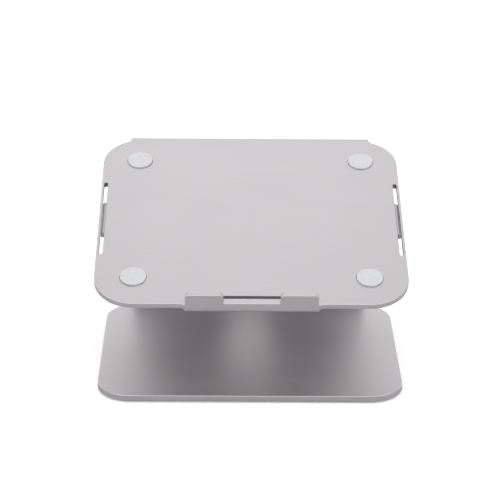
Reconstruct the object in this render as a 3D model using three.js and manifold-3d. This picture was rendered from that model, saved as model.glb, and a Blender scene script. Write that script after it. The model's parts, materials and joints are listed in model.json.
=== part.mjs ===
// Laptop stand: one sheet of aluminium, cut flat and bent into a base plate, an upright neck, a sloping tray
// and a front lip, with silicone pads where the laptop rests, a silicone liner on the lip and four rubber feet.
// Millimetres and degrees. +X is right, +Y is back (the lip faces -Y), +Z is up.
// The origin is the middle of the underside of the object's bounding box.
import * as THREE from "three";
import { mergeVertices } from "three/addons/utils/BufferGeometryUtils.js";
import Module from "manifold-3d";

const wasm = await Module();
wasm.setup();

// ---------------------------------------------------------------- driving dimensions

const sheetThickness = 5;
const edgeChamfer = 0.6;

const baseWidth = 260;
const baseDepth = 187.5; // flat length, front edge to the start of the neck's lower bend
const baseCornerRadius = 29;

const trayWidth = 260;
const trayDepth = 222.5; // flat length, front edge to the start of the neck's upper bend
const trayCornerRadius = 33.8;
const trayTilt = 17.2; // the tray falls towards the front

const neckLength = 147.5; // straight length between the two bends
const neckLean = 3.3; // backwards from upright
const neckWidthAtBends = 214;
const neckWaistWidth = 176;
const neckRootFillet = 4; // where the neck's edge meets a rear corner of the base or tray
const neckBendInsideRadius = 3.5;
const cableHoleDiameter = 50;
const cableHoleRise = 38; // from the lower bend's end up the neck to the hole's middle

const lipWidth = 108.4;
const lipHeight = 15.1; // above the tray's top face
const lipBendAhead = 1.5; // the lip's bend starts this far ahead of the tray's front edge
const lipBendInsideRadius = 0.5;
const lipRootFillet = 4.5;
const lipCornerRadius = 3;
const notchWidth = 46.5;
const notchFloorHeight = 6.4; // above the tray's top face
const notchTopRadius = 3.5;
const notchFloorRadius = 1;

const sideSlotLength = 97;
const sideSlotWidth = 3.3;
const sideSlotInset = 3.9; // slot's centre line to the tray's side edge
const sideSlotMiddle = 111; // slot's middle to the tray's front edge
const turnedEdgeLength = 42; // stretch of the slot where its inner edge is rolled down
const turnedEdgeGap = 0.4; // from the rolled edge to the slot's outer side

const frontSlotLength = 56;
const frontSlotWidth = 3.5;
const frontSlotRearEdge = 9.9; // slot's rear side to the tray's front edge

const padDiameter = 21.8;
const padProud = 1.6;
const padFromSide = 32.3;
const padFromFront = 33;
const padFromRear = 31.2;

const footDiameter = 22;
const footProud = 2; // the base plate's clearance over the desk
const footInset = 29; // from the base's front, side and rear lines

const recessDepth = 1; // seats of the pads and feet
const recessClearance = 0.3; // around a pad or a foot in its seat
const adhesiveThickness = 0.2;
const adhesiveMargin = 0.7; // the adhesive disc ends this far inside its pad's edge
const contactGap = 0.05; // between pieces that are bonded face to face
const padEdgeRadius = 0.6;

const linerEndMargin = 4.2; // from each end of the lip
const linerThickness = 1.2;
const linerAboveBend = 2.2; // from the end of the lip's bend to the liner's lower edge
const linerBelowNotch = 0.2; // from the notch's floor down to the liner's upper edge
const linerEdgeRadius = 0.4;

const arcSteps = 12; // facets on each quarter-turn arc of the outline
const rimSteps = 3; // facets on the small rounded edges of pads, feet and liner
const discFacets = 40;
const bendStepAngle = 9; // largest turn of one facet in a bend
const facetTolerance = 0.004; // how far a point may lie off a facet that takes it in

// ---------------------------------------------------------------- small helpers

const radians = THREE.MathUtils.degToRad;
const halfThickness = sheetThickness / 2;

function solidOf(geometry) {
  const plain = geometry.index ? geometry.toNonIndexed() : geometry.clone();
  for (const name of Object.keys(plain.attributes)) {
    if (name !== "position") plain.deleteAttribute(name);
  }
  const merged = mergeVertices(plain, 1e-4);
  return new wasm.Manifold(
    new wasm.Mesh({
      numProp: 3,
      vertProperties: new Float32Array(merged.attributes.position.array),
      triVerts: new Uint32Array(merged.index.array),
    }),
  );
}

function geometryOf(positions, triangles) {
  const geometry = new THREE.BufferGeometry();
  geometry.setAttribute("position", new THREE.BufferAttribute(Float32Array.from(positions), 3));
  geometry.setIndex(new THREE.BufferAttribute(Uint32Array.from(triangles), 1));
  const faceted = geometry.toNonIndexed();
  faceted.computeVertexNormals();
  return faceted;
}

function moved(geometry, x, y, z) {
  geometry.translate(x, y, z);
  return geometry;
}

// Points of an arc, both ends included. Angles in degrees; a falling angle runs clockwise.
function arc(centreX, centreY, radius, fromAngle, toAngle, quarterSteps = arcSteps) {
  const steps = Math.max(2, Math.ceil((Math.abs(toAngle - fromAngle) / 90) * quarterSteps));
  return Array.from({ length: steps + 1 }, (_, i) => {
    const angle = radians(fromAngle + ((toAngle - fromAngle) * i) / steps);
    return new THREE.Vector2(centreX + radius * Math.cos(angle), centreY + radius * Math.sin(angle));
  });
}

// A slot with round ends, drawn about its middle, long along the second axis.
function slotShape(length, width) {
  const reach = (length - width) / 2;
  return new THREE.Shape([...arc(0, reach, width / 2, 0, 180), ...arc(0, -reach, width / 2, 180, 360)]);
}

function extruded(shape, depth) {
  return new THREE.ExtrudeGeometry(shape, { depth, bevelEnabled: false, curveSegments: arcSteps });
}

// ---------------------------------------------------------------- the sheet's path, seen from the side

// Headings are measured from +Y towards +Z. The sheet runs back along the base, up the neck, forward and down
// the tray, and up the lip. A bend with a positive turn is to the left, on the inner side of the stand.
const neckMidRadius = neckBendInsideRadius + halfThickness;
const lipMidRadius = lipBendInsideRadius + halfThickness;

const segments = [
  { name: "base", length: baseDepth },
  { name: "lowerBend", radius: neckMidRadius, turn: 90 - neckLean },
  { name: "neck", length: neckLength },
  { name: "upperBend", radius: neckMidRadius, turn: 90 + neckLean + trayTilt },
  { name: "tray", length: trayDepth + lipBendAhead },
  { name: "lipBend", radius: lipMidRadius, turn: -90 },
  { name: "lip", length: lipHeight - lipBendInsideRadius },
];

// Walks the segments and notes where each one starts: the distance along the sheet, the point and the heading.
const path = {};
{
  let distance = 0;
  let heading = 0;
  let point = new THREE.Vector2(0, footProud + halfThickness);
  for (const segment of segments) {
    const isBend = segment.turn !== undefined;
    const length = isBend ? segment.radius * radians(Math.abs(segment.turn)) : segment.length;
    path[segment.name] = { ...segment, isBend, length, start: distance, end: distance + length, heading, point };
    point = placeOn(path[segment.name], length).point;
    heading += isBend ? segment.turn : 0;
    distance += length;
  }
}

// The point and heading at a distance along one segment.
function placeOn(segment, along) {
  const heading = radians(segment.heading);
  if (!segment.isBend) {
    const step = new THREE.Vector2(Math.cos(heading), Math.sin(heading)).multiplyScalar(along);
    return { point: segment.point.clone().add(step), heading };
  }
  const side = Math.sign(segment.turn);
  const turned = heading + (side * along) / segment.radius;
  const point = new THREE.Vector2(
    segment.point.x + side * segment.radius * (Math.sin(turned) - Math.sin(heading)),
    segment.point.y - side * segment.radius * (Math.cos(turned) - Math.cos(heading)),
  );
  return { point, heading: turned };
}

function placeAt(distance) {
  const all = Object.values(path);
  const segment = all.find((candidate) => distance <= candidate.end) ?? all.at(-1);
  return placeOn(segment, distance - segment.start);
}

// Distance along the sheet of a point on the tray, given how far it is behind the tray's front edge.
const trayFront = path.tray.start + trayDepth;
const onTray = (fromFront) => trayFront - fromFront;
const onLip = (height) => path.lip.start + height - lipBendInsideRadius;

// ---------------------------------------------------------------- the flat sheet

// Outline arc of a rear corner, ending in the small fillet that runs into the neck's edge.
function rearCorner(width, cornerRadius, rearLine, direction) {
  const centreX = width / 2 - cornerRadius;
  const centreY = rearLine - direction * cornerRadius;
  const filletX = neckWidthAtBends / 2 + neckRootFillet;
  const reach = cornerRadius + neckRootFillet;
  const rise = Math.sqrt(reach ** 2 - (filletX - centreX) ** 2);
  const angle = THREE.MathUtils.radToDeg(Math.atan2(rise, filletX - centreX));
  const corner = arc(centreX, centreY, cornerRadius, 0, direction * angle);
  const fillet = arc(filletX, centreY + direction * rise, neckRootFillet, direction * (angle + 180), direction * 180);
  return direction > 0 ? [...corner, ...fillet] : [...corner, ...fillet].reverse();
}

function sheetOutline() {
  const baseX = baseWidth / 2 - baseCornerRadius;
  const trayX = trayWidth / 2 - trayCornerRadius;
  const lipX = lipWidth / 2;
  const lipTop = path.lip.end;
  const notchX = notchWidth / 2;
  const waist = new THREE.Vector2(neckWaistWidth / 2, (path.neck.start + path.neck.end) / 2);
  const shoulder = neckLength / 4;
  const edgeLow = new THREE.Vector2(neckWidthAtBends / 2, path.neck.start);
  const edgeHigh = new THREE.Vector2(neckWidthAtBends / 2, path.neck.end);
  const lowSweep = new THREE.CubicBezierCurve(
    edgeLow,
    new THREE.Vector2(edgeLow.x, edgeLow.y + shoulder),
    new THREE.Vector2(waist.x, waist.y - shoulder),
    waist,
  );
  const highSweep = new THREE.CubicBezierCurve(
    waist,
    new THREE.Vector2(waist.x, waist.y + shoulder),
    new THREE.Vector2(edgeHigh.x, edgeHigh.y - shoulder),
    edgeHigh,
  );
  const rightHalf = [
    ...arc(baseX, baseCornerRadius, baseCornerRadius, -90, 0),
    ...rearCorner(baseWidth, baseCornerRadius, baseDepth, 1),
    ...lowSweep.getPoints(arcSteps),
    ...highSweep.getPoints(arcSteps).slice(1),
    ...rearCorner(trayWidth, trayCornerRadius, path.tray.start, -1),
    ...arc(trayX, trayFront - trayCornerRadius, trayCornerRadius, 0, 90),
    ...arc(lipX + lipRootFillet, trayFront + lipRootFillet, lipRootFillet, -90, -180),
    ...arc(lipX - lipCornerRadius, lipTop - lipCornerRadius, lipCornerRadius, 0, 90),
    ...arc(notchX + notchTopRadius, lipTop - notchTopRadius, notchTopRadius, 90, 180),
    ...arc(notchX - notchFloorRadius, onLip(notchFloorHeight) + notchFloorRadius, notchFloorRadius, 0, -90),
  ];
  const leftHalf = rightHalf.map((p) => new THREE.Vector2(-p.x, p.y)).reverse();
  return new THREE.Shape([...rightHalf, ...leftHalf]);
}

function flatSheet() {
  const outline = sheetOutline();
  const holeMiddle = path.neck.start + cableHoleRise;
  outline.holes.push(new THREE.Path(arc(0, holeMiddle, cableHoleDiameter / 2, 360, 0).slice(1)));
  const depth = sheetThickness - 2 * edgeChamfer;
  const blank = new THREE.ExtrudeGeometry(outline, {
    depth,
    bevelEnabled: true,
    bevelThickness: edgeChamfer,
    bevelSize: edgeChamfer,
    bevelOffset: -edgeChamfer,
    bevelSegments: 1,
  });
  return solidOf(moved(blank, 0, 0, -depth / 2));
}

// Where each pad and foot sits: across the sheet, along the sheet, and its place on the tray or base.
const corners = [
  { name: "front_left", side: -1, isFront: true },
  { name: "front_right", side: 1, isFront: true },
  { name: "rear_left", side: -1, isFront: false },
  { name: "rear_right", side: 1, isFront: false },
];
const padPlaces = corners.map(({ name, side, isFront }) => ({
  name,
  x: side * (trayWidth / 2 - padFromSide),
  fromFront: isFront ? padFromFront : trayDepth - padFromRear,
}));
const footPlaces = corners.map(({ name, side, isFront }) => ({
  name,
  x: side * (baseWidth / 2 - footInset),
  fromFront: isFront ? footInset : baseDepth - footInset,
}));

// A seat for a pad or foot: a shallow round recess in the sheet's outer face.
function seatCutter(diameter, x, distance) {
  const radius = diameter / 2 + recessClearance;
  const height = recessDepth * 2;
  const disc = new THREE.CylinderGeometry(radius, radius, height, discFacets);
  disc.rotateX(Math.PI / 2);
  return solidOf(moved(disc, x, distance, -halfThickness));
}

function throughCutter(shape, x, distance, turn = 0) {
  const depth = sheetThickness * 2;
  return solidOf(moved(extruded(shape, depth).rotateZ(turn), x, distance, -depth / 2));
}

// The rolled stretch of a side slot's inner edge: a quarter round that falls from the tray's top face.
function turnedEdge(side) {
  const innerX = trayWidth / 2 - sideSlotInset - sideSlotWidth / 2;
  const radius = sideSlotWidth - turnedEdgeGap;
  const root = 1; // how far the rolled edge is buried in the tray beside the slot
  const section = new THREE.Shape([
    new THREE.Vector2(-root, halfThickness),
    new THREE.Vector2(-root, -halfThickness),
    ...arc(0, radius - halfThickness, radius, -90, 0),
    new THREE.Vector2(radius, halfThickness),
  ]);
  const bar = moved(extruded(section, turnedEdgeLength).rotateX(Math.PI / 2), innerX, turnedEdgeLength / 2, 0);
  if (side < 0) bar.rotateZ(Math.PI);
  return solidOf(moved(bar, 0, onTray(sideSlotMiddle), 0));
}

function cutSheet() {
  let sheet = flatSheet();
  const slotX = trayWidth / 2 - sideSlotInset;
  const sideSlot = slotShape(sideSlotLength, sideSlotWidth);
  const frontSlot = slotShape(frontSlotLength, frontSlotWidth);
  const cutters = [
    throughCutter(sideSlot, slotX, onTray(sideSlotMiddle)),
    throughCutter(sideSlot, -slotX, onTray(sideSlotMiddle)),
    throughCutter(frontSlot, 0, onTray(frontSlotRearEdge - frontSlotWidth / 2), Math.PI / 2),
    ...padPlaces.map((place) => seatCutter(padDiameter, place.x, onTray(place.fromFront))),
    ...footPlaces.map((place) => seatCutter(footDiameter, place.x, place.fromFront)),
  ];
  for (const cutter of cutters) sheet = sheet.subtract(cutter);
  for (const side of [-1, 1]) sheet = sheet.add(turnedEdge(side));
  return sheet.getMesh();
}

// ---------------------------------------------------------------- bending

// Splits the triangles along the line at one distance, so that the sheet has an edge to turn on there.
function splitAlong(points, triangles, distance) {
  const snap = 0.02;
  for (const point of points) {
    if (Math.abs(point[1] - distance) < snap) point[1] = distance;
  }
  const crossings = new Map();
  const crossing = (a, b) => {
    const key = a < b ? a + "_" + b : b + "_" + a;
    if (!crossings.has(key)) {
      const [low, high] = a < b ? [points[a], points[b]] : [points[b], points[a]];
      const share = (distance - low[1]) / (high[1] - low[1]);
      const cut = low.map((value, k) => value + share * (high[k] - value));
      cut[1] = distance;
      crossings.set(key, points.push(cut) - 1);
    }
    return crossings.get(key);
  };
  const result = [];
  for (const triangle of triangles) {
    const sides = triangle.map((v) => Math.sign(points[v][1] - distance));
    if (!(sides.includes(1) && sides.includes(-1))) {
      result.push(triangle);
      continue;
    }
    // Turn the triangle so that its first corner is alone on its side, or lies on the line.
    const alone = sides.findIndex((side, i) => {
      const others = [sides[(i + 1) % 3], sides[(i + 2) % 3]];
      return side === 0 || (side !== 0 && !others.includes(side) && !others.includes(0));
    });
    const [a, b, c] = [0, 1, 2].map((i) => triangle[(alone + i) % 3]);
    if (sides[alone] === 0) {
      const m = crossing(b, c);
      result.push([a, b, m], [a, m, c]);
    } else {
      const m = crossing(a, b);
      const n = crossing(a, c);
      result.push([a, m, n], [m, b, c], [m, c, n]);
    }
  }
  return result;
}

function bentSheet() {
  const flat = cutSheet();
  const { vertProperties, triVerts, numProp } = flat;
  const points = [];
  for (let i = 0; i < vertProperties.length; i += numProp) {
    points.push([vertProperties[i], vertProperties[i + 1], vertProperties[i + 2]]);
  }
  let triangles = [];
  for (let i = 0; i < triVerts.length; i += 3) {
    triangles.push([triVerts[i], triVerts[i + 1], triVerts[i + 2]]);
  }
  for (const bend of Object.values(path).filter((segment) => segment.isBend)) {
    const steps = Math.ceil(Math.abs(bend.turn) / bendStepAngle);
    for (let i = 0; i <= steps; i++) {
      triangles = splitAlong(points, triangles, bend.start + (bend.length * i) / steps);
    }
  }
  const positions = points.flatMap(([x, distance, offset]) => {
    const { point, heading } = placeAt(distance);
    return [x, point.x - offset * Math.sin(heading), point.y + offset * Math.cos(heading)];
  });
  // Triangles that share one flat facet are merged again.
  const bent = solidOf(geometryOf(positions, triangles.flat())).simplify(facetTolerance).getMesh();
  return geometryOf(bent.vertProperties, bent.triVerts);
}

// ---------------------------------------------------------------- pads, feet, liner and their adhesive

// A disc with a rounded rim on its upper face, standing on z = 0.
function roundedDisc(diameter, height, rimRadius) {
  const radius = diameter / 2;
  const rim = arc(radius - rimRadius, height - rimRadius, rimRadius, 0, 90, rimSteps);
  const profile = [new THREE.Vector2(0, 0), new THREE.Vector2(radius, 0), ...rim, new THREE.Vector2(0, height)];
  const disc = new THREE.LatheGeometry(profile, discFacets);
  disc.rotateX(Math.PI / 2);
  return disc;
}

function plainDisc(diameter, height) {
  const disc = new THREE.CylinderGeometry(diameter / 2, diameter / 2, height, discFacets);
  disc.rotateX(Math.PI / 2);
  return moved(disc, 0, 0, height / 2);
}

// A strip with rounded long edges on its free face, lying on z = 0.
function roundedStrip(length, width, height, edgeRadius) {
  const section = new THREE.Shape([
    new THREE.Vector2(-width / 2, 0),
    new THREE.Vector2(width / 2, 0),
    ...arc(width / 2 - edgeRadius, height - edgeRadius, edgeRadius, 0, 90, rimSteps),
    ...arc(-width / 2 + edgeRadius, height - edgeRadius, edgeRadius, 90, 180, rimSteps),
  ]);
  const strip = extruded(section, length);
  return strip.rotateX(Math.PI / 2).rotateZ(Math.PI / 2).translate(-length / 2, 0, 0);
}

const aluminium = { color: 0xcbc9c9, metalness: 0.9, roughness: 0.45 };
const clearSilicone = { color: 0xe4e6ea, metalness: 0, roughness: 0.55 };
const footRubber = { color: 0xb9bcc0, metalness: 0, roughness: 0.7 };
const adhesiveFilm = { color: 0xf2f0e6, metalness: 0, roughness: 0.6 };

function piece(name, geometry, finish) {
  const mesh = new THREE.Mesh(geometry, new THREE.MeshStandardMaterial(finish));
  mesh.name = name;
  return mesh;
}

// A bonded pad and its adhesive disc, standing out of a seat whose floor is at z = -recessDepth.
function bondedPad(padName, adhesiveName, diameter, proud, finish) {
  const adhesiveFloor = -recessDepth + contactGap;
  const padFloor = adhesiveFloor + adhesiveThickness + contactGap;
  const group = new THREE.Group();
  const pad = piece(padName, roundedDisc(diameter, proud - padFloor, padEdgeRadius), finish);
  pad.position.z = padFloor;
  const adhesive = piece(adhesiveName, plainDisc(diameter - 2 * adhesiveMargin, adhesiveThickness), adhesiveFilm);
  adhesive.position.z = adhesiveFloor;
  group.add(pad, adhesive);
  return group;
}

const stand = new THREE.Group();
stand.add(piece("stand_body", bentSheet(), aluminium));

// The tray's own frame: its origin is the middle of the tray's front edge on the top face, local Y runs back
// along the face and local Z stands square to it.
const trayFrame = new THREE.Group();
{
  const { point, heading } = placeOn(path.tray, trayDepth);
  trayFrame.position.set(0, point.x + halfThickness * Math.sin(heading), point.y - halfThickness * Math.cos(heading));
  trayFrame.rotation.x = radians(trayTilt);
}
for (const place of padPlaces) {
  const pad = bondedPad(
    "tray_pad_" + place.name,
    "tray_pad_adhesive_" + place.name,
    padDiameter,
    padProud,
    clearSilicone,
  );
  pad.position.set(place.x, place.fromFront, 0);
  trayFrame.add(pad);
}

// The liner lies on the lip's inner face, which stands square to the tray.
const linerBottom = lipBendInsideRadius + linerAboveBend;
const linerTop = notchFloorHeight - linerBelowNotch;
const linerWidth = linerTop - linerBottom;
const linerLength = lipWidth - 2 * linerEndMargin;
const linerFrame = new THREE.Group();
linerFrame.position.set(0, -lipBendAhead - lipBendInsideRadius, (linerBottom + linerTop) / 2);
linerFrame.rotation.x = -Math.PI / 2;
const liner = piece(
  "lip_liner",
  roundedStrip(linerLength, linerWidth, linerThickness, linerEdgeRadius),
  clearSilicone,
);
liner.position.z = contactGap * 2 + adhesiveThickness;
const linerAdhesive = piece(
  "lip_liner_adhesive",
  new THREE.BoxGeometry(linerLength - 2 * adhesiveMargin, linerWidth - adhesiveMargin, adhesiveThickness),
  adhesiveFilm,
);
linerAdhesive.position.z = contactGap + adhesiveThickness / 2;
linerFrame.add(liner, linerAdhesive);
trayFrame.add(linerFrame);
stand.add(trayFrame);

for (const place of footPlaces) {
  const foot = bondedPad(
    "base_foot_" + place.name,
    "base_foot_adhesive_" + place.name,
    footDiameter,
    footProud,
    footRubber,
  );
  foot.position.set(place.x, place.fromFront, footProud);
  foot.rotation.x = Math.PI;
  stand.add(foot);
}

// Moves the stand so that the origin is the middle of the underside of its bounding box.
stand.updateMatrixWorld(true);
const bounds = new THREE.Box3().setFromObject(stand, true);
stand.position.set(-(bounds.min.x + bounds.max.x) / 2, -(bounds.min.y + bounds.max.y) / 2, -bounds.min.z);

const laptopStand = new THREE.Group();
laptopStand.add(stand);

export default laptopStand;
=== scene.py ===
"""A laptop stand: one sheet of satin anodised aluminium, cut flat and bent, with silicone pads, a silicone
lip liner and rubber feet. Metres, +X right, +Y back, +Z up; the lip faces -Y."""

import json
import math

import bpy
from mathutils import Euler, Matrix, Vector

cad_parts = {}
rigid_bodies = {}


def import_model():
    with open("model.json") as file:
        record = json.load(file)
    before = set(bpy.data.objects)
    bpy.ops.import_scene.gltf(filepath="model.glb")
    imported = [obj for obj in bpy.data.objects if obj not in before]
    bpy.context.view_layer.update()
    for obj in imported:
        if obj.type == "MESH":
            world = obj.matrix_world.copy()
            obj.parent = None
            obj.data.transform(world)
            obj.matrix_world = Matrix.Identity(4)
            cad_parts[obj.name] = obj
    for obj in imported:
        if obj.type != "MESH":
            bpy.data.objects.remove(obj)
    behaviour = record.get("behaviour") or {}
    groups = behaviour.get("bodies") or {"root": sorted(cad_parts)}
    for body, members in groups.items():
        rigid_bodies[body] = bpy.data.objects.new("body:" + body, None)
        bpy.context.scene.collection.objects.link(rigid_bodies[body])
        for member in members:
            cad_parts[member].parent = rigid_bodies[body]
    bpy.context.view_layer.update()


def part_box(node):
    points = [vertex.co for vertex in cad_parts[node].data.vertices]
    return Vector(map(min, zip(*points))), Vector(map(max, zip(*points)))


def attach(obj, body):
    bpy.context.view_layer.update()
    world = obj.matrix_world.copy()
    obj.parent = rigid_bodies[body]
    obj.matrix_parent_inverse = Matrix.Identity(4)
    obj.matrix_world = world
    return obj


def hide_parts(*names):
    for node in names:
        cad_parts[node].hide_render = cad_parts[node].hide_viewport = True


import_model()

# ---------------------------------------------------------------- sizes, as the sheet is drawn

MM = 0.001
SHEET = 5.0 * MM
EDGE_ROUND = 0.6 * MM
SLOT_EDGE_ROUND = 0.22 * MM

BASE_WIDTH = 260.0 * MM
BASE_DEPTH = 187.5 * MM
BASE_CORNER = 29.0 * MM
FOOT_INSET = 29.0 * MM
FOOT_PROUD = 2.0 * MM

TRAY_WIDTH = 260.0 * MM
TRAY_DEPTH = 222.5 * MM
TRAY_CORNER = 33.8 * MM
TRAY_TILT = math.radians(17.2)

NECK_LENGTH = 147.5 * MM
NECK_LEAN = math.radians(3.3)
NECK_WIDTH = 214.0 * MM
NECK_WAIST = 176.0 * MM
NECK_ROOT = 4.0 * MM
NECK_BEND_INSIDE = 3.5 * MM
CABLE_HOLE = 50.0 * MM
CABLE_HOLE_RISE = 38.0 * MM

LIP_WIDTH = 108.4 * MM
LIP_HEIGHT = 15.1 * MM
LIP_BEND_AHEAD = 1.5 * MM
LIP_BEND_INSIDE = 0.5 * MM
LIP_ROOT = 4.5 * MM
LIP_CORNER = 3.0 * MM
NOTCH_WIDTH = 46.5 * MM
NOTCH_FLOOR = 6.4 * MM
NOTCH_TOP_ROUND = 3.5 * MM
NOTCH_FLOOR_ROUND = 1.0 * MM

SIDE_SLOT_LENGTH = 97.0 * MM
SIDE_SLOT_WIDTH = 3.3 * MM
SIDE_SLOT_INSET = 3.9 * MM
SIDE_SLOT_MIDDLE = 111.0 * MM
ROLLED_LENGTH = 42.0 * MM
ROLLED_GAP = 0.4 * MM

FRONT_SLOT_LENGTH = 56.0 * MM
FRONT_SLOT_WIDTH = 3.5 * MM
FRONT_SLOT_REAR = 9.9 * MM

SEAT_DEPTH = 1.0 * MM
SEAT_CLEARANCE = 0.3 * MM
PAD_DIAMETER = 21.8 * MM
PAD_FROM_SIDE = 32.3 * MM
PAD_FROM_FRONT = 33.0 * MM
PAD_FROM_REAR = 31.2 * MM
FOOT_DIAMETER = 22.0 * MM

BEND_STEP = math.radians(4.5)
NECK_ROWS = 56
BIG_ARC_FACET = 2.4 * MM
SMALL_ARC_FACET = 0.45 * MM
SLOT_END_STEPS = 10
ROLLED_STEPS = 14
HOLE_FACETS = 112
BARELY_SHORT = 0.98  # a round this share of its full size leaves a sliver of the flat beside it

TOUCH = 1e-6  # places nearer than this are the same
WELD = 2e-6  # points nearer than this are merged
FLAT_WITHIN = math.radians(0.3)
CUT_EDGES = math.radians(40)
SLOT_EDGES = math.radians(62)
DISC_SMOOTH = math.radians(35)
LINER_EDGES = math.radians(50)

# ---------------------------------------------------------------- the sheet's stations, laid out flat

# The blank lies flat along +Y with its underside at the base plate's. "Along" is the distance from the
# base's front edge on the sheet's middle surface.
BASE_FRONT_Y = (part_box("base_foot_front_left")[0].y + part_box("base_foot_front_left")[1].y) / 2 - FOOT_INSET
SHEET_LOW = FOOT_PROUD
SHEET_HIGH = FOOT_PROUD + SHEET
SHEET_MIDDLE = FOOT_PROUD + SHEET / 2

neck_bend_radius = NECK_BEND_INSIDE + SHEET / 2
lip_bend_radius = LIP_BEND_INSIDE + SHEET / 2
lower_turn = math.pi / 2 - NECK_LEAN
upper_turn = math.pi / 2 + NECK_LEAN + TRAY_TILT
lip_turn = -math.pi / 2

NECK_START = BASE_DEPTH + neck_bend_radius * lower_turn
NECK_END = NECK_START + NECK_LENGTH
TRAY_REAR = NECK_END + neck_bend_radius * upper_turn
TRAY_FRONT = TRAY_REAR + TRAY_DEPTH
LIP_BEND_START = TRAY_FRONT + LIP_BEND_AHEAD
LIP_START = LIP_BEND_START + lip_bend_radius * abs(lip_turn)
LIP_END = LIP_START + LIP_HEIGHT - LIP_BEND_INSIDE

BENDS = [
    (BASE_DEPTH, neck_bend_radius, lower_turn),
    (NECK_END, neck_bend_radius, upper_turn),
    (LIP_BEND_START, lip_bend_radius, lip_turn),
]


def on_tray(from_front):
    return TRAY_FRONT - from_front


def on_lip(height):
    return LIP_START + height - LIP_BEND_INSIDE


# ---------------------------------------------------------------- the maker's hand tools

def leave_edit():
    if bpy.context.mode != "OBJECT":
        bpy.ops.object.mode_set(mode="OBJECT")


def take(obj):
    """Makes obj the only selected and active object."""
    leave_edit()
    bpy.ops.object.select_all(action="DESELECT")
    obj.select_set(True)
    bpy.context.view_layer.objects.active = obj
    return obj


def settle(obj):
    take(obj)
    bpy.ops.object.transform_apply(location=True, rotation=True, scale=True)
    return obj


def block(name, low, high):
    """A cube stretched to reach from one corner to the other."""
    low, high = Vector(low), Vector(high)
    leave_edit()
    bpy.ops.object.select_all(action="DESELECT")
    bpy.ops.mesh.primitive_cube_add(size=1, location=(low + high) / 2)
    obj = bpy.context.active_object
    obj.name = name
    obj.scale = high - low
    return settle(obj)


def rod(name, centre, radius, length, facets=64):
    """An upright cylinder about its centre."""
    leave_edit()
    bpy.ops.object.select_all(action="DESELECT")
    bpy.ops.mesh.primitive_cylinder_add(vertices=facets, radius=radius, depth=length, location=centre)
    obj = bpy.context.active_object
    obj.name = name
    return settle(obj)


def select_in(obj, kind, wanted):
    """Enters edit mode with only the wanted vertices, edges or faces of obj selected. wanted takes the
    corners of one of them, as points."""
    take(obj)
    bpy.ops.object.mode_set(mode="EDIT")
    bpy.ops.mesh.select_mode(type=kind)
    bpy.ops.mesh.select_all(action="DESELECT")
    bpy.ops.object.mode_set(mode="OBJECT")
    mesh = obj.data
    parts = {"VERT": mesh.vertices, "EDGE": mesh.edges, "FACE": mesh.polygons}[kind]
    for part in parts:
        corners = [part.co] if kind == "VERT" else [mesh.vertices[i].co for i in part.vertices]
        part.select = wanted(corners)
    bpy.ops.object.mode_set(mode="EDIT")


def upright(corners):
    a, b = corners
    return (a.xy - b.xy).length < TOUCH and abs(a.z - b.z) > 10 * TOUCH


def round_corners(obj, radius, steps):
    """Rounds the upright edges of a flat plate."""
    select_in(obj, "EDGE", upright)
    bpy.ops.mesh.bevel(offset=radius, segments=steps, profile=0.5, affect="EDGES", clamp_overlap=False)
    leave_edit()
    return obj


def work(obj, tool, operation):
    """Adds tool to obj, or cuts it away, and uses the tool up."""
    take(obj)
    step = obj.modifiers.new("work", "BOOLEAN")
    step.operation = operation
    step.object = tool
    step.solver = "EXACT"
    step.material_mode = "TRANSFER"
    bpy.ops.object.modifier_apply(modifier=step.name)
    discard(tool)
    return obj


def discard(obj):
    mesh = obj.data
    bpy.data.objects.remove(obj)
    bpy.data.meshes.remove(mesh)


def weld_on(obj, tool):
    return work(obj, tool, "UNION")


def cut(obj, tool):
    return work(obj, tool, "DIFFERENCE")


def tidy_faces(obj):
    """Merges faces that lie in one plane, and drops points that bend no edge."""
    take(obj)
    bpy.ops.object.mode_set(mode="EDIT")
    bpy.ops.mesh.select_all(action="SELECT")
    bpy.ops.mesh.remove_doubles(threshold=WELD)
    bpy.ops.mesh.dissolve_limited(angle_limit=FLAT_WITHIN, use_dissolve_boundaries=False)
    bpy.ops.mesh.normals_make_consistent(inside=False)
    leave_edit()
    return obj


def soften(obj, width, segments, sharper_than, finish_slot=-1):
    """Rounds every edge sharper than an angle. The rounds can have a finish of their own."""
    take(obj)
    step = obj.modifiers.new("soften", "BEVEL")
    step.width = width
    step.segments = segments
    step.limit_method = "ANGLE"
    step.angle_limit = sharper_than
    step.use_clamp_overlap = False
    step.material = finish_slot
    bpy.ops.object.modifier_apply(modifier=step.name)
    return obj


def shade(obj, angle):
    """Smooth shading below an angle, with the broad faces keeping their flat look."""
    take(obj)
    bpy.ops.object.shade_smooth_by_angle(angle=angle)
    step = obj.modifiers.new("weighted", "WEIGHTED_NORMAL")
    step.keep_sharp = True
    step.weight = 90
    bpy.ops.object.modifier_apply(modifier=step.name)
    return obj


# ---------------------------------------------------------------- finishes

def new_finish(name):
    material = bpy.data.materials.new(name)
    material.use_nodes = True
    nodes = material.node_tree.nodes
    return material, nodes, material.node_tree.links, nodes["Principled BSDF"]


def finish(obj, material):
    obj.data.materials.clear()
    obj.data.materials.append(material)


def grain(nodes, links, stretch, detail, roughness=0.5):
    """A noise on the object's own coordinates, stretched by a scale on each axis."""
    coordinates = nodes.new("ShaderNodeTexCoord")
    mapping = nodes.new("ShaderNodeMapping")
    mapping.inputs["Scale"].default_value = stretch
    noise = nodes.new("ShaderNodeTexNoise")
    noise.inputs["Scale"].default_value = 1.0
    noise.inputs["Detail"].default_value = detail
    noise.inputs["Roughness"].default_value = roughness
    links.new(coordinates.outputs["Object"], mapping.inputs["Vector"])
    links.new(mapping.outputs["Vector"], noise.inputs["Vector"])
    return noise.outputs["Fac"]


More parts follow.
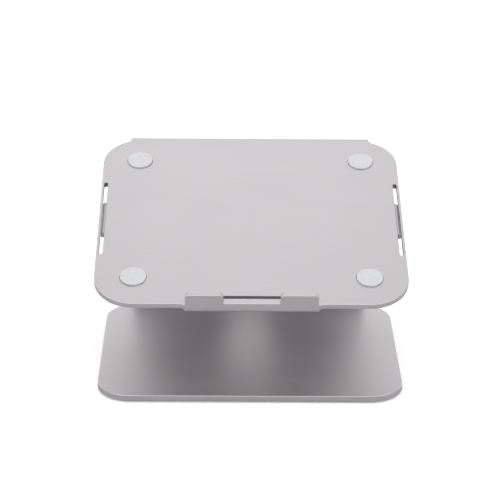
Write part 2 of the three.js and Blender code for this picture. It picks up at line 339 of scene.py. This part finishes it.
def spread(nodes, links, value, low, high):
    """Maps a noise's middle range to low and high."""
    node = nodes.new("ShaderNodeMapRange")
    node.inputs["From Min"].default_value = 0.3
    node.inputs["From Max"].default_value = 0.7
    node.inputs["To Min"].default_value = low
    node.inputs["To Max"].default_value = high
    links.new(value, node.inputs["Value"])
    return node.outputs["Result"]


def tint(nodes, links, value, dark, light):
    node = nodes.new("ShaderNodeMix")
    node.data_type = "RGBA"
    node.inputs["A"].default_value = (*dark, 1)
    node.inputs["B"].default_value = (*light, 1)
    links.new(value, node.inputs["Factor"])
    return node.outputs["Result"]


def arithmetic(nodes, links, operation, first, second=None, number=None):
    """Joins two outputs, or an output and a number, by one operation."""
    node = nodes.new("ShaderNodeMath")
    node.operation = operation
    links.new(first, node.inputs[0])
    if second is not None:
        links.new(second, node.inputs[1])
    if number is not None:
        node.inputs[1].default_value = number
    return node.outputs["Value"]


def total(nodes, links, first, second):
    return arithmetic(nodes, links, "ADD", first, second)


def relief(nodes, links, shader, height, distance, strength=1.0):
    node = nodes.new("ShaderNodeBump")
    node.inputs["Strength"].default_value = strength
    node.inputs["Distance"].default_value = distance
    links.new(height, node.inputs["Height"])
    links.new(node.outputs["Normal"], shader.inputs["Normal"])


def satin_aluminium():
    """Fine bead-blasted and clear anodised sheet: the mill's faint rolling lines run across it."""
    material, nodes, links, shader = new_finish("satin_anodised_aluminium")
    cloud = grain(nodes, links, (9, 14, 14), 2)
    lines = grain(nodes, links, (12, 470, 470), 4, 0.65)
    blast = grain(nodes, links, (2600, 2600, 2600), 2, 0.6)
    cloudy = spread(nodes, links, cloud, 0.05, 0.35)
    lined = spread(nodes, links, lines, 0.0, 0.6)
    lightness = total(nodes, links, cloudy, lined)
    colour = tint(nodes, links, lightness, (0.566, 0.545, 0.561), (0.634, 0.613, 0.629))
    links.new(colour, shader.inputs["Base Color"])
    along_lines = spread(nodes, links, lines, 0.0, 0.10)
    blasted = spread(nodes, links, blast, 0.385, 0.465)
    links.new(total(nodes, links, along_lines, blasted), shader.inputs["Roughness"])
    line_height = spread(nodes, links, lines, 0.0, 0.5)
    blast_height = spread(nodes, links, blast, 0.0, 0.5)
    height = total(nodes, links, line_height, blast_height)
    relief(nodes, links, shader, height, 0.004 * MM, 0.6)
    shader.inputs["Metallic"].default_value = 1.0
    return material


def cut_edge_painted_highlight():
    """The narrow chamfer along the cut edges, finely lined and left smoother by the finishing cutter. Its
    bright lines come partly from that real smoother finish and partly from a colour lighter than the sheet's,
    which is painted highlight.
    """
    material, nodes, links, shader = new_finish("cut_edge_painted_highlight")
    lines = grain(nodes, links, (420, 420, 1400), 3, 0.6)
    lined = spread(nodes, links, lines, 0.0, 1.0)
    # A colour lighter than the sheet's: painted highlight on the chamfers.
    colour = tint(nodes, links, lined, (0.595, 0.574, 0.590), (0.655, 0.634, 0.650))
    links.new(colour, shader.inputs["Base Color"])
    links.new(spread(nodes, links, lines, 0.30, 0.38), shader.inputs["Roughness"])
    shader.inputs["Metallic"].default_value = 1.0
    return material


def shaded_wall():
    """The milled walls inside the narrow slots, where little light gets in: their darker colour is painted
    shade, and their finish is a little rougher.
    """
    material, nodes, links, shader = new_finish("painted_shade_slot_wall")
    lines = grain(nodes, links, (700, 700, 2200), 3, 0.6)
    lined = spread(nodes, links, lines, 0.0, 1.0)
    # These darker tones stand in for the shade inside the slots: painted shade.
    colour = tint(nodes, links, lined, (0.325, 0.312, 0.323), (0.395, 0.382, 0.393))
    links.new(colour, shader.inputs["Base Color"])
    links.new(spread(nodes, links, lines, 0.46, 0.58), shader.inputs["Roughness"])
    shader.inputs["Metallic"].default_value = 1.0
    return material


def matt_silicone():
    """Milky silicone, a little see-through, of the pads and the lip's liner."""
    material, nodes, links, shader = new_finish("milky_silicone")
    cloud = grain(nodes, links, (300, 300, 300), 3)
    fine = grain(nodes, links, (3200, 3200, 3200), 2)
    cloudy = spread(nodes, links, cloud, 0.0, 1.0)
    colour = tint(nodes, links, cloudy, (0.600, 0.610, 0.618), (0.655, 0.661, 0.669))
    links.new(colour, shader.inputs["Base Color"])
    links.new(spread(nodes, links, fine, 0.42, 0.56), shader.inputs["Roughness"])
    relief(nodes, links, shader, fine, 0.01 * MM, 0.5)
    shader.inputs["Subsurface Weight"].default_value = 0.2
    shader.inputs["Subsurface Scale"].default_value = 0.002
    shader.inputs["IOR"].default_value = 1.41
    return material


def soft_rubber():
    """Grey rubber with a fine moulded texture."""
    material, nodes, links, shader = new_finish("grey_foot_rubber")
    cloud = grain(nodes, links, (260, 260, 260), 3)
    fine = grain(nodes, links, (2400, 2400, 2400), 3)
    cloudy = spread(nodes, links, cloud, 0.0, 1.0)
    colour = tint(nodes, links, cloudy, (0.44, 0.46, 0.48), (0.51, 0.53, 0.55))
    links.new(colour, shader.inputs["Base Color"])
    links.new(spread(nodes, links, fine, 0.62, 0.78), shader.inputs["Roughness"])
    relief(nodes, links, shader, fine, 0.02 * MM, 0.6)
    return material


def glue_film():
    """The yellowish film that bonds pads, liner and feet."""
    material, nodes, links, shader = new_finish("pressure_sensitive_film")
    cloud = grain(nodes, links, (420, 420, 420), 3)
    cloudy = spread(nodes, links, cloud, 0.0, 1.0)
    colour = tint(nodes, links, cloudy, (0.84, 0.82, 0.755), (0.91, 0.89, 0.83))
    links.new(colour, shader.inputs["Base Color"])
    links.new(spread(nodes, links, cloud, 0.5, 0.65), shader.inputs["Roughness"])
    return material


aluminium = satin_aluminium()
cut_edge = cut_edge_painted_highlight()
painted_shade_slot_wall = shaded_wall()
silicone = matt_silicone()
rubber = soft_rubber()
film = glue_film()


# ---------------------------------------------------------------- the bent sheet

def neck_half_width(along):
    """The neck's edge: sweeping in from the lower bend to the waist and out again to the upper one."""
    share = 1 - abs(2 * (along - NECK_START) / NECK_LENGTH - 1)
    low, high = 0.0, 1.0
    for _ in range(40):  # where the sweep's curve has come this far along the neck
        middle = (low + high) / 2
        reach = 1.5 * middle * (1 - middle) ** 2 + 1.5 * middle**2 * (1 - middle) + middle**3
        low, high = (middle, high) if reach < share else (low, middle)
    swept = 3 * low**2 - 2 * low**3
    return NECK_WIDTH / 2 - swept * (NECK_WIDTH - NECK_WAIST) / 2


def slice_at(obj, along):
    """Cuts every face of the flat sheet along one line across it, and cuts nothing off."""
    take(obj)
    bpy.ops.object.mode_set(mode="EDIT")
    bpy.ops.mesh.select_all(action="SELECT")
    bpy.ops.mesh.bisect(plane_co=(0, BASE_FRONT_Y + along, 0), plane_no=(0, 1, 0), threshold=WELD)
    leave_edit()


class Pen:
    """Draws an outline on the flat sheet's lower face by extruding its last point, or spinning it."""

    def __init__(self, name, x, along):
        leave_edit()
        bpy.ops.object.select_all(action="DESELECT")
        bpy.ops.mesh.primitive_plane_add(size=SHEET, location=(0, 0, 0))
        self.obj = bpy.context.active_object
        self.obj.name = name
        bpy.ops.object.mode_set(mode="EDIT")
        bpy.ops.mesh.select_mode(type="VERT")
        bpy.ops.mesh.select_all(action="SELECT")
        bpy.ops.mesh.merge(type="CENTER")
        bpy.ops.transform.translate(value=(x, BASE_FRONT_Y + along, SHEET_LOW))
        self.at = Vector((x, BASE_FRONT_Y + along))

    def line(self, x, along):
        to = Vector((x, BASE_FRONT_Y + along))
        step = to - self.at
        bpy.ops.mesh.extrude_region_move(TRANSFORM_OT_translate={"value": (step.x, step.y, 0)})
        self.at = to

    def arc(self, x, along, degrees, segment):
        """Turns about a centre; a positive angle is to the left. The facets are about segment long."""
        centre = Vector((x, BASE_FRONT_Y + along))
        arm = self.at - centre
        turn = math.radians(degrees)
        steps = max(5, math.ceil(abs(turn) * arm.length / segment))
        bpy.ops.mesh.spin(steps=steps, angle=-turn, center=(*centre, SHEET_LOW), axis=(0, 0, 1))
        arm.rotate(Matrix.Rotation(turn, 2))
        self.at = centre + arm


def rear_corner(width, corner, rear_along, direction):
    """The arc of a plate's rear corner and the small fillet that runs into the neck's edge: the height of
    the two centres, and the angle at which the arcs meet."""
    corner_along = rear_along - direction * corner
    across = NECK_WIDTH / 2 + NECK_ROOT - (width / 2 - corner)
    rise = math.sqrt((corner + NECK_ROOT) ** 2 - across**2)
    return corner_along, corner_along + direction * rise, math.degrees(math.atan2(rise, across))


def draw_outline():
    """Half of the blank's outline, from the base's front, up the neck and round the tray to the lip."""
    big, small = BIG_ARC_FACET, SMALL_ARC_FACET
    base_x = BASE_WIDTH / 2 - BASE_CORNER
    tray_x = TRAY_WIDTH / 2 - TRAY_CORNER
    neck_x = NECK_WIDTH / 2
    fillet_x = neck_x + NECK_ROOT
    lip_x = LIP_WIDTH / 2
    notch_x = NOTCH_WIDTH / 2
    floor = on_lip(NOTCH_FLOOR)

    pen = Pen("stand_sheet", 0, 0)
    pen.line(base_x, 0)
    pen.arc(base_x, BASE_CORNER, 90, big)
    corner_along, fillet_along, meet = rear_corner(BASE_WIDTH, BASE_CORNER, BASE_DEPTH, 1)
    pen.line(BASE_WIDTH / 2, corner_along)
    pen.arc(base_x, corner_along, meet, big)
    pen.arc(fillet_x, fillet_along, -meet, small)
    pen.line(neck_x, NECK_START)
    for i in range(1, NECK_ROWS + 1):
        along = NECK_START + NECK_LENGTH * i / NECK_ROWS
        pen.line(neck_half_width(along), along)
    corner_along, fillet_along, meet = rear_corner(TRAY_WIDTH, TRAY_CORNER, TRAY_REAR, -1)
    pen.line(neck_x, fillet_along)
    pen.arc(fillet_x, fillet_along, -meet, small)
    pen.arc(tray_x, corner_along, meet, big)
    pen.line(TRAY_WIDTH / 2, TRAY_FRONT - TRAY_CORNER)
    pen.arc(tray_x, TRAY_FRONT - TRAY_CORNER, 90, big)
    pen.line(lip_x + LIP_ROOT, TRAY_FRONT)
    pen.arc(lip_x + LIP_ROOT, TRAY_FRONT + LIP_ROOT, -90, small)
    pen.line(lip_x, LIP_END - LIP_CORNER)
    pen.arc(lip_x - LIP_CORNER, LIP_END - LIP_CORNER, 90, small)
    pen.line(notch_x + NOTCH_TOP_ROUND, LIP_END)
    pen.arc(notch_x + NOTCH_TOP_ROUND, LIP_END - NOTCH_TOP_ROUND, 90, small)
    pen.line(notch_x, floor + NOTCH_FLOOR_ROUND)
    pen.arc(notch_x - NOTCH_FLOOR_ROUND, floor + NOTCH_FLOOR_ROUND, -90, small)
    pen.line(0, floor)
    leave_edit()
    return pen.obj


def slot_cutter(centre_x, centre_along, length, width, lengthwise=True):
    """A tool that cuts a slot with round ends through the flat sheet."""
    half = Vector((width / 2, length / 2)) if lengthwise else Vector((length / 2, width / 2))
    tool = block(
        "slot",
        (centre_x - half.x, BASE_FRONT_Y + centre_along - half.y, SHEET_LOW - SHEET),
        (centre_x + half.x, BASE_FRONT_Y + centre_along + half.y, SHEET_HIGH + SHEET),
    )
    # The cutter's painted-shade colour passes on to the slot walls it leaves in the sheet.
    finish(tool, painted_shade_slot_wall)
    return round_corners(tool, width / 2 * BARELY_SHORT, SLOT_END_STEPS)


def rolled_bar(side):
    """The stretch of a side slot's inner edge that rolls over, as a bar with one round edge. The tray's top
    face is the flat sheet's lower face."""
    inner_x = TRAY_WIDTH / 2 - SIDE_SLOT_INSET - SIDE_SLOT_WIDTH / 2
    reach = SIDE_SLOT_WIDTH - ROLLED_GAP
    x_low, x_high = sorted((side * (inner_x - MM), side * (inner_x + reach)))
    along = on_tray(SIDE_SLOT_MIDDLE)
    bar = block(
        "rolled",
        (x_low, BASE_FRONT_Y + along - ROLLED_LENGTH / 2, SHEET_LOW),
        (x_high, BASE_FRONT_Y + along + ROLLED_LENGTH / 2, SHEET_HIGH),
    )
    edge_x = side * (inner_x + reach)

    def low_edge(corners):
        return all(abs(c.x - edge_x) < TOUCH and abs(c.z - SHEET_LOW) < TOUCH for c in corners)

    select_in(bar, "EDGE", low_edge)
    roll = reach * BARELY_SHORT
    bpy.ops.mesh.bevel(offset=roll, segments=ROLLED_STEPS, profile=0.5, affect="EDGES", clamp_overlap=False)
    leave_edit()
    return bar


def seats(sheet, diameter, half_span, alongs):
    """Shallow round seats in the sheet's outer face, for pads or feet."""
    for along in alongs:
        for side in (-1, 1):
            centre = (side * half_span, BASE_FRONT_Y + along, SHEET_LOW)
            sheet = cut(sheet, rod("seat", centre, diameter / 2 + SEAT_CLEARANCE, 2 * SEAT_DEPTH))
    return sheet


def cut_blank():
    """The flat blank: the outline mirrored, filled and thickened, then pierced and its edges rounded."""
    sheet = settle(draw_outline())
    mirror = sheet.modifiers.new("other_half", "MIRROR")
    mirror.use_axis = (True, False, False)
    mirror.merge_threshold = WELD
    bpy.ops.object.modifier_apply(modifier=mirror.name)
    bpy.ops.object.mode_set(mode="EDIT")
    bpy.ops.mesh.select_all(action="SELECT")
    bpy.ops.mesh.edge_face_add()
    bpy.ops.mesh.extrude_region_move(TRANSFORM_OT_translate={"value": (0, 0, SHEET)})
    leave_edit()
    tidy_faces(sheet)
    hole_centre = (0, BASE_FRONT_Y + NECK_START + CABLE_HOLE_RISE, SHEET_MIDDLE)
    sheet = cut(sheet, rod("cable_hole", hole_centre, CABLE_HOLE / 2, 4 * SHEET, HOLE_FACETS))
    finish(sheet, aluminium)
    # The rounded cut edges take the chamfer finish, whose lighter colour is painted highlight.
    sheet.data.materials.append(cut_edge)
    soften(sheet, EDGE_ROUND, 3, CUT_EDGES, finish_slot=1)

    for side in (-1, 1):
        slot_x = side * (TRAY_WIDTH / 2 - SIDE_SLOT_INSET)
        tool = slot_cutter(slot_x, on_tray(SIDE_SLOT_MIDDLE), SIDE_SLOT_LENGTH, SIDE_SLOT_WIDTH)
        sheet = cut(sheet, tool)
        sheet = weld_on(sheet, rolled_bar(side))
    front_slot_along = on_tray(FRONT_SLOT_REAR - FRONT_SLOT_WIDTH / 2)
    tool = slot_cutter(0, front_slot_along, FRONT_SLOT_LENGTH, FRONT_SLOT_WIDTH, lengthwise=False)
    sheet = cut(sheet, tool)
    pad_alongs = (on_tray(PAD_FROM_FRONT), TRAY_REAR + PAD_FROM_REAR)
    sheet = seats(sheet, PAD_DIAMETER, TRAY_WIDTH / 2 - PAD_FROM_SIDE, pad_alongs)
    sheet = seats(sheet, FOOT_DIAMETER, BASE_WIDTH / 2 - FOOT_INSET, (FOOT_INSET, BASE_DEPTH - FOOT_INSET))
    tidy_faces(sheet)
    return soften(sheet, SLOT_EDGE_ROUND, 2, SLOT_EDGES)


def fold(sheet):
    """Bends the flat blank as a brake press does, a few degrees at a time, from the lip back to the base."""
    stations = []
    for start, radius, turn in BENDS:
        steps = math.ceil(abs(turn) / BEND_STEP)
        for i in range(steps + 1):
            share = 0.5 if i in (0, steps) else 1.0
            stations.append((start + radius * abs(turn) * i / steps, share * turn / steps))
    for along, _ in stations:
        slice_at(sheet, along)
    flat = [v.co.y - BASE_FRONT_Y for v in sheet.data.vertices]
    tolerance = 2 * WELD
    for along, turn in sorted(stations, reverse=True):
        pivot = (0, BASE_FRONT_Y + along, SHEET_MIDDLE)
        for angle, wanted in (
            (turn, [place > along + tolerance for place in flat]),
            (turn / 2, [abs(place - along) <= tolerance for place in flat]),
        ):
            take(sheet)
            bpy.ops.object.mode_set(mode="EDIT")
            bpy.ops.mesh.select_mode(type="VERT")
            bpy.ops.mesh.select_all(action="DESELECT")
            bpy.ops.object.mode_set(mode="OBJECT")
            sheet.data.vertices.foreach_set("select", wanted)
            bpy.ops.object.mode_set(mode="EDIT")
            bpy.ops.transform.rotate(value=-angle, orient_axis="X", center_override=pivot)
            leave_edit()
    return sheet


stand_sheet = shade(fold(cut_blank()), CUT_EDGES)
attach(stand_sheet, "root")
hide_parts("stand_body")

# ---------------------------------------------------------------- pads, liner and feet

PAD_PROUD = 1.6 * MM
FILM = 0.2 * MM
GLUE_GAP = 0.05 * MM
LINER_THICKNESS = 1.2 * MM
LINER_END_MARGIN = 4.2 * MM
LINER_ABOVE_BEND = 2.2 * MM
LINER_BELOW_NOTCH = 0.2 * MM
LINER_END_ROUND = 1.2 * MM
LINER_EDGE_ROUND = 0.35 * MM
DISC_RIM = 0.6 * MM
PAD_DISH = 0.08 * MM
FOOT_DISH = 0.25 * MM

# How far below the sheet's face a pad or foot begins, on its film in its seat.
SUNK = SEAT_DEPTH - 2 * GLUE_GAP - FILM


def rounded_disc(name, diameter, proud, dish):
    """A moulded disc standing in its seat: rounded at the rim, with a shallow dish in its face."""
    disc = rod(name, (0, 0, (proud - SUNK) / 2), diameter / 2, proud + SUNK, facets=96)
    select_in(disc, "EDGE", lambda corners: all(c.z > 0 and c.xy.length > diameter / 4 for c in corners))
    bpy.ops.mesh.bevel(offset=DISC_RIM, segments=6, profile=0.5, affect="EDGES", clamp_overlap=False)
    leave_edit()
    select_in(disc, "FACE", lambda corners: all(abs(c.z - proud) < TOUCH for c in corners))
    bpy.ops.mesh.inset(thickness=diameter * 0.04)
    bpy.ops.mesh.inset(thickness=diameter * 0.02)
    bpy.ops.transform.translate(value=(0, 0, -dish))
    leave_edit()
    select_in(disc, "EDGE", lambda corners: all(c.z < -SUNK + TOUCH for c in corners))
    bpy.ops.mesh.bevel(offset=DISC_RIM / 3, segments=2, profile=0.5, affect="EDGES", clamp_overlap=False)
    leave_edit()
    return disc


def copy_of(piece, name):
    twin = piece.copy()
    twin.data = piece.data.copy()
    twin.name = name
    bpy.context.scene.collection.objects.link(twin)
    return twin


def set_in_place(piece, matrix):
    """Moves the piece's mesh to its place, and leaves its object at the origin."""
    piece.matrix_world = matrix
    return shade(settle(piece), DISC_SMOOTH)


# The tray's frame: its origin is the middle of the front edge on the top face.
pad_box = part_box("tray_pad_front_left")
pad_middle = (Vector(pad_box[0]) + Vector(pad_box[1])) / 2
tray_turn = Matrix.Rotation(TRAY_TILT, 4, "X")
tray_y = tray_turn @ Vector((0, 1, 0))
tray_z = tray_turn @ Vector((0, 0, 1))
tray_origin = pad_middle - tray_y * PAD_FROM_FRONT - tray_z * (PAD_PROUD - SUNK) / 2
tray_origin.x = 0
tray_frame = Matrix.Translation(tray_origin) @ tray_turn


def make_pads():
    span = TRAY_WIDTH / 2 - PAD_FROM_SIDE
    places = {
        "front_left": (-span, PAD_FROM_FRONT),
        "front_right": (span, PAD_FROM_FRONT),
        "rear_left": (-span, TRAY_DEPTH - PAD_FROM_REAR),
        "rear_right": (span, TRAY_DEPTH - PAD_FROM_REAR),
    }
    pattern = rounded_disc("pad_pattern", PAD_DIAMETER, PAD_PROUD, PAD_DISH)
    for name, (x, from_front) in places.items():
        pad = copy_of(pattern, "rest_pad_" + name)
        set_in_place(pad, tray_frame @ Matrix.Translation((x, from_front, 0)))
        finish(pad, silicone)
        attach(pad, "root")
        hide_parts("tray_pad_" + name)
    discard(pattern)


def make_feet():
    span = BASE_WIDTH / 2 - FOOT_INSET
    places = {
        "front_left": (-span, FOOT_INSET),
        "front_right": (span, FOOT_INSET),
        "rear_left": (-span, BASE_DEPTH - FOOT_INSET),
        "rear_right": (span, BASE_DEPTH - FOOT_INSET),
    }
    pattern = rounded_disc("foot_pattern", FOOT_DIAMETER, FOOT_PROUD, FOOT_DISH)
    turned_over = Matrix.Rotation(math.pi, 4, "X")
    for name, (x, from_front) in places.items():
        foot = copy_of(pattern, "desk_foot_" + name)
        set_in_place(foot, Matrix.Translation((x, BASE_FRONT_Y + from_front, FOOT_PROUD)) @ turned_over)
        finish(foot, rubber)
        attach(foot, "root")
        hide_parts("base_foot_" + name)
    discard(pattern)


def make_liner():
    """The strip on the lip's inner face, with rounded long edges and round ends."""
    low = LIP_BEND_INSIDE + LINER_ABOVE_BEND
    high = NOTCH_FLOOR - LINER_BELOW_NOTCH
    half_length = LIP_WIDTH / 2 - LINER_END_MARGIN
    front = -LIP_BEND_AHEAD - LIP_BEND_INSIDE + FILM + 2 * GLUE_GAP
    liner = block("lip_strip", (-half_length, front, low), (half_length, front + LINER_THICKNESS, high))

    def crosses_the_end(corners):
        a, b = corners
        return abs(a.x) > half_length - TOUCH and abs(a.x - b.x) < TOUCH and abs(a.z - b.z) < TOUCH

    select_in(liner, "EDGE", crosses_the_end)
    bpy.ops.mesh.bevel(offset=LINER_END_ROUND, segments=8, profile=0.5, affect="EDGES", clamp_overlap=False)
    leave_edit()
    soften(liner, LINER_EDGE_ROUND, 4, LINER_EDGES)
    set_in_place(liner, tray_frame)
    finish(liner, silicone)
    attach(liner, "root")
    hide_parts("lip_liner")


make_pads()
make_feet()
make_liner()
for node in bpy.data.objects:
    if "_adhesive" in node.name:
        finish(node, film)

# ---------------------------------------------------------------- camera, floor and light

CAMERA_TURN = math.radians(0.79)
CAMERA_DIP = math.radians(22.65)
CAMERA_ROLL = math.radians(0.6)
CAMERA_DISTANCE = 1.6434
CAMERA_AIM = Vector((-0.00125, 0.080, 0.10627))
CAMERA_LENS = 137.94
SENSOR = 36.0
CAMERA_SHIFT = (-0.001, 0.0001)
FAR_CLIP = 20


def set_camera():
    """Stands the camera where it looks down at the lip, a hair from the middle, and turns it level."""
    data = bpy.data.cameras.new("camera")
    data.lens = CAMERA_LENS
    data.sensor_width = SENSOR
    data.shift_x, data.shift_y = CAMERA_SHIFT
    data.clip_end = FAR_CLIP
    camera = bpy.data.objects.new("camera", data)
    bpy.context.scene.collection.objects.link(camera)
    turned = Matrix.Rotation(-CAMERA_TURN, 4, "Z")
    forward = Vector((0, math.cos(CAMERA_DIP), -math.sin(CAMERA_DIP)))
    base_front = Matrix.Translation((0, BASE_FRONT_Y, 0))
    stand_point = Matrix.Translation(CAMERA_AIM - forward * CAMERA_DISTANCE)
    dipped = Euler((math.pi / 2 - CAMERA_DIP, 0, 0)).to_matrix().to_4x4()
    rolled = Matrix.Rotation(CAMERA_ROLL, 4, "Z")
    camera.matrix_world = base_front @ turned @ stand_point @ dipped @ rolled
    bpy.context.scene.camera = camera


# The studio round the stand, as brightness by the angle from the horizon behind it, over the top, to the
# horizon in front: a lit wall low down at the back, a dim gap, a card overhead, and a large card in front.
BACK_WALL = 2.1
DIM_GAP = 0.45
OVERHEAD_CARD = 0.95
FRONT_CARD = 2.0
FRONT_FLOOR = 0.2
STUDIO = [
    (0, BACK_WALL),
    (12, BACK_WALL),
    (30, DIM_GAP),
    (60, OVERHEAD_CARD),
    (80, DIM_GAP),
    (135, FRONT_CARD),
    (180, FRONT_FLOOR),
]
BACKDROP = 1.06
FLOOR_SEEN = 1.1
FLOOR_GLOW = 0.16
FLOOR_BOUNCE = 0.58
SOFTBOX_POWER = 1.0
FLOOR_SIZE = 30

TOP_OF_RAMP = 4.0  # a ramp's colours stay below 1, so they are held at a quarter
SOFTBOX_PLACE = (0, 0.66, 1.08)
SOFTBOX_AIM = (0, 0.03, 0.135)
SOFTBOX_WIDTH = 0.8
SOFTBOX_HEIGHT = 0.6


def light_studio():
    """The world: brightness by angle round the stand, and an even white backdrop for the camera alone."""
    world = bpy.data.worlds.new("studio")
    bpy.context.scene.world = world
    world.use_nodes = True
    nodes, links = world.node_tree.nodes, world.node_tree.links
    background = nodes["Background"]
    background.inputs["Color"].default_value = (1, 1, 1, 1)
    direction = nodes.new("ShaderNodeTexCoord")
    parts = nodes.new("ShaderNodeSeparateXYZ")
    links.new(direction.outputs["Generated"], parts.inputs["Vector"])
    angle = arithmetic(nodes, links, "ARCTAN2", parts.outputs["Z"], parts.outputs["Y"])
    share = arithmetic(nodes, links, "DIVIDE", angle, number=math.pi)
    ramp = nodes.new("ShaderNodeValToRGB")
    stops = ramp.color_ramp.elements
    for degrees, brightness in STUDIO:
        at_end = {0: stops[0], 180: stops[-1]}
        stop = at_end.get(degrees) or stops.new(degrees / 180)
        level = brightness / TOP_OF_RAMP
        stop.color = (level, level, level, 1)
    links.new(share, ramp.inputs["Fac"])
    brightness = arithmetic(nodes, links, "MULTIPLY", ramp.outputs["Color"], number=TOP_OF_RAMP)
    path = nodes.new("ShaderNodeLightPath")
    strength = nodes.new("ShaderNodeMix")
    strength.data_type = "FLOAT"
    strength.inputs["B"].default_value = BACKDROP
    links.new(path.outputs["Is Camera Ray"], strength.inputs["Factor"])
    links.new(brightness, strength.inputs["A"])
    links.new(strength.outputs["Result"], background.inputs["Strength"])


def white_table():
    """Matt white paper, lighter to the camera than it is to the stand."""
    material, nodes, links, shader = new_finish("white_table")
    path = nodes.new("ShaderNodeLightPath")
    seen = nodes.new("ShaderNodeMix")
    seen.data_type = "RGBA"
    seen.inputs["A"].default_value = (FLOOR_BOUNCE, FLOOR_BOUNCE, FLOOR_BOUNCE, 1)
    seen.inputs["B"].default_value = (FLOOR_SEEN, FLOOR_SEEN, FLOOR_SEEN, 1)
    links.new(path.outputs["Is Camera Ray"], seen.inputs["Factor"])
    links.new(seen.outputs["Result"], shader.inputs["Base Color"])
    shader.inputs["Roughness"].default_value = 1.0
    shader.inputs["Specular IOR Level"].default_value = 0.0
    glow = arithmetic(nodes, links, "MULTIPLY", path.outputs["Is Camera Ray"], number=FLOOR_GLOW)
    links.new(glow, shader.inputs["Emission Strength"])
    shader.inputs["Emission Color"].default_value = (1, 1, 1, 1)
    return material


def soft_light(name, place, aim, width, height, power):
    data = bpy.data.lights.new(name, "AREA")
    data.shape = "RECTANGLE"
    data.size = width
    data.size_y = height
    data.energy = power
    light = bpy.data.objects.new(name, data)
    bpy.context.scene.collection.objects.link(light)
    light.location = place
    light.rotation_euler = (Vector(place) - Vector(aim)).to_track_quat("Z", "Y").to_euler()
    light.visible_camera = False


set_camera()
light_studio()
soft_light("softbox", SOFTBOX_PLACE, SOFTBOX_AIM, SOFTBOX_WIDTH, SOFTBOX_HEIGHT, SOFTBOX_POWER)

leave_edit()
bpy.ops.object.select_all(action="DESELECT")
bpy.ops.mesh.primitive_plane_add(size=FLOOR_SIZE, location=(0, 0, 0))
floor = bpy.context.active_object
floor.name = "floor"
finish(floor, white_table())
bpy.context.scene.view_settings.view_transform = "Standard"
